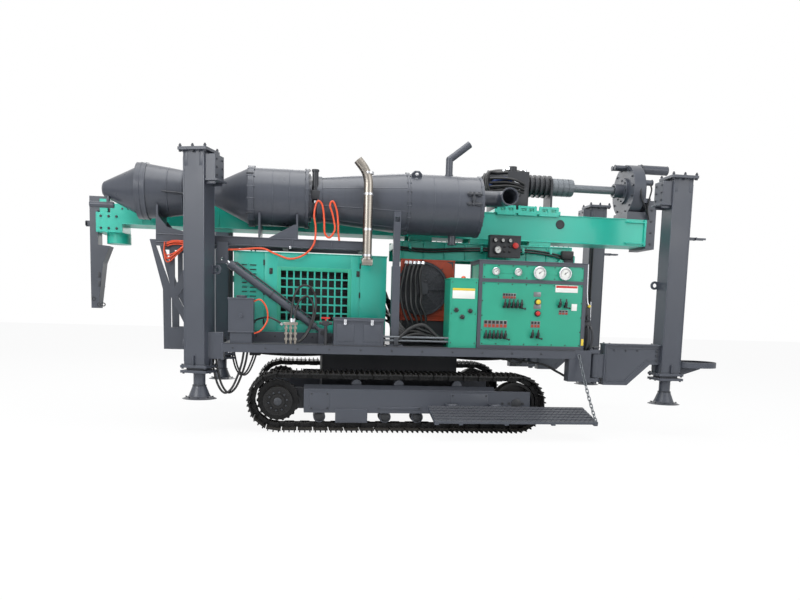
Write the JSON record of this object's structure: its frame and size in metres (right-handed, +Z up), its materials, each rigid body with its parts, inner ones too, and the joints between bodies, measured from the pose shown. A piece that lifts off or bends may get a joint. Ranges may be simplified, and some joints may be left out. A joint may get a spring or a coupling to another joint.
{
  "type": "reverse circulation drilling rig",
  "caption": "Crawler reverse circulation drilling rig with a tilting mast, laid-down sample cyclone, jack legs on swing arms, engine canopy and control cabinet.",
  "frame": {"origin": "on the ground, at the bottom centre of the whole machine's box", "axes": "+X from the mast's crown to its foot, +Y from the control side to the far side, +Z up"},
  "size_m": [6.7884, 2.8924, 3.0798],
  "materials": {
    "dark_paint": "satin",
    "green_paint": "satin",
    "panel_green": "satin",
    "track_steel": "worn",
    "beam_paint": "satin",
    "engine_iron": "matte",
    "stainless": "brushed",
    "chrome_rod": "polished",
    "shroud_orange": "satin",
    "head_black": "satin",
    "rod_steel": "satin",
    "gauge_face": "satin",
    "lever_black": "gloss"
  },
  "bodies": {
    "chassis": {"track_near": "track_steel", "track_far": "track_steel", "sprocket_near": "track_steel", "sprocket_far": "track_steel", "idler_near": "track_steel", "idler_far": "track_steel", "track_frame_near": "beam_paint", "track_frame_far": "beam_paint", "undercarriage": "dark_paint", "deck": "dark_paint", "rear_leg_near": "dark_paint", "rear_leg_far": "dark_paint", "canopy": "green_paint", "canopy_grille": "green_paint", "engine": "engine_iron", "pumps": "engine_iron", "exhaust": "stainless", "tool_box": "dark_paint", "grease_tank": "dark_paint", "oil_tank": "dark_paint", "cooler": "shroud_orange", "rest_post": "dark_paint", "cabinet_frame": "dark_paint", "cabinet_panels": "panel_green", "side_cabinet": "panel_green", "gauges": "gauge_face", "levers": "lever_black", "mast_stand": "green_paint"},
    "rear_jack_near": {"rear_jack_near": "dark_paint"},
    "rear_jack_far": {"rear_jack_far": "dark_paint"},
    "front_arm_near": {"swing_arm_near": "dark_paint", "front_leg_near": "dark_paint"},
    "front_arm_far": {"swing_arm_far": "dark_paint", "front_leg_far": "dark_paint"},
    "front_jack_near": {"front_jack_near": "dark_paint"},
    "front_jack_far": {"front_jack_far": "dark_paint"},
    "step_board": {"step_board": "beam_paint"},
    "slide_frame": {"slide_frame": "green_paint", "gauge_panel": "head_black"},
    "mast": {"mast": "green_paint", "clamp": "dark_paint"},
    "jib": {"jib": "dark_paint"},
    "head": {"carriage": "green_paint", "rotary_head": "head_black", "drill_string": "rod_steel"},
    "lift_barrel": {"lift_barrel": "green_paint"},
    "lift_rod": {"lift_rod": "chrome_rod"},
    "cyclone": {"sample_cone": "dark_paint", "sample_body": "dark_paint", "catch_drum": "dark_paint", "gate_valve": "dark_paint", "cyclone_cone": "dark_paint", "cyclone_drum": "dark_paint", "inlet_pipe": "dark_paint", "cyclone_frame": "dark_paint"},
    "tilt_barrel": {"tilt_barrel": "dark_paint"},
    "tilt_rod": {"tilt_rod": "chrome_rod"}
  },
  "joints": [
    {"name": "rear_jack_near", "type": "slide", "parent": "chassis", "child": "rear_jack_near", "axis": [0, 0, -1], "range_m": [0, 0.32]},
    {"name": "rear_jack_far", "type": "slide", "parent": "chassis", "child": "rear_jack_far", "axis": [0, 0, -1], "range_m": [0, 0.32]},
    {"name": "front_jack_near", "type": "slide", "parent": "front_arm_near", "child": "front_jack_near", "axis": [0, 0, -1], "range_m": [0, 0.32]},
    {"name": "front_jack_far", "type": "slide", "parent": "front_arm_far", "child": "front_jack_far", "axis": [0, 0, -1], "range_m": [0, 0.32]},
    {"name": "arm_swing_near", "type": "hinge", "parent": "chassis", "child": "front_arm_near", "pos_m": [2.03975, -0.92077, 0.73], "axis": [0, 0, -1], "range_deg": [0, 75]},
    {"name": "arm_swing_far", "type": "hinge", "parent": "chassis", "child": "front_arm_far", "pos_m": [2.03975, 1.21923, 0.73], "axis": [0, 0, 1], "range_deg": [0, 75]},
    {"name": "step_fold", "type": "hinge", "parent": "chassis", "child": "step_board", "pos_m": [1.05975, -0.99577, 0.29], "axis": [-1, 0, 0], "range_deg": [0, 80]},
    {"name": "mast_tilt", "type": "hinge", "parent": "chassis", "child": "slide_frame", "pos_m": [1.98975, 0.14923, 1.885], "axis": [0, 1, 0], "range_deg": [0, 88]},
    {"name": "mast_slide", "type": "slide", "parent": "slide_frame", "child": "mast", "axis": [1, 0, 0], "range_m": [0, 0.55]},
    {"name": "jib_swing", "type": "hinge", "parent": "mast", "child": "jib", "pos_m": [-3.18025, 0.14923, 2.31], "axis": [0, 1, 0], "range_deg": [0, 75]},
    {"name": "head_feed", "type": "slide", "parent": "mast", "child": "head", "axis": [1, 0, 0], "range_m": [-3.85, 0.3]},
    {"name": "lift_turn", "type": "hinge", "parent": "chassis", "child": "lift_barrel", "pos_m": [0.22975, 0.14923, 0.98], "axis": [0, -1, 0], "range_deg": [0, 6.85]},
    {"name": "lift_extend", "type": "slide", "parent": "lift_barrel", "child": "lift_rod", "axis": [0.7918, 0, 0.6108], "range_m": [0, 0.9736]},
    {"name": "cyclone_tilt", "type": "hinge", "parent": "chassis", "child": "cyclone", "pos_m": [-2.22025, -0.41077, 0.87], "axis": [0, -1, 0], "range_deg": [0, 90]},
    {"name": "tilt_turn", "type": "hinge", "parent": "chassis", "child": "tilt_barrel", "pos_m": [-0.84625, -0.72077, 1.005], "axis": [0, -1, 0], "range_deg": [0, 29.36]},
    {"name": "tilt_extend", "type": "slide", "parent": "tilt_barrel", "child": "tilt_rod", "axis": [-0.815, 0, 0.5794], "range_m": [0, 1.0044]}
  ],
  "couplings": [
    {"joint": "lift_turn", "follows": "mast_tilt", "ratio": 0.077737},
    {"joint": "lift_extend", "follows": "mast_tilt", "m_per_rad": 0.63361},
    {"joint": "tilt_turn", "follows": "cyclone_tilt", "ratio": 0.32606},
    {"joint": "tilt_extend", "follows": "cyclone_tilt", "m_per_rad": 0.6391}
  ]
}
